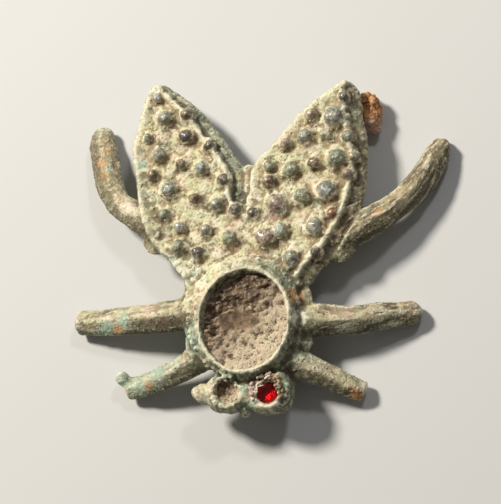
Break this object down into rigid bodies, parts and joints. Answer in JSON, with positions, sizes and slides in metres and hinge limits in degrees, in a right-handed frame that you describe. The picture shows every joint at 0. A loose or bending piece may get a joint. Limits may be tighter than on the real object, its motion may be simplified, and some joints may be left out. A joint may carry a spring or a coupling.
{
  "type": "fibula brooch",
  "caption": "Cast bronze plate brooch in the shape of a fly, with pelleted wings, an empty oval cell, one red glass eye and the rusted stub of its pin.",
  "frame": {"origin": "on the surface the brooch lies on, below the middle of its box", "axes": "+Y towards the wing tips, -Y towards the head, +Z out of the decorated face, +X to the right as seen from above with the head down"},
  "size_m": [0.0374, 0.0338, 0.0054],
  "materials": {
    "bronze": "green-grey patina under a buff crust, darker metal on the raised pellets",
    "bedding": "rough brown decayed paste",
    "red_glass": "clear deep red, polished",
    "rusted_iron": "orange-brown rust crust"
  },
  "bodies": {
    "root": {"brooch_casting": "bronze", "cell_bedding": "bedding", "eye_bedding": "bedding", "eye_glass": "red_glass", "iron_pin": "rusted_iron"}
  },
  "joints": []
}
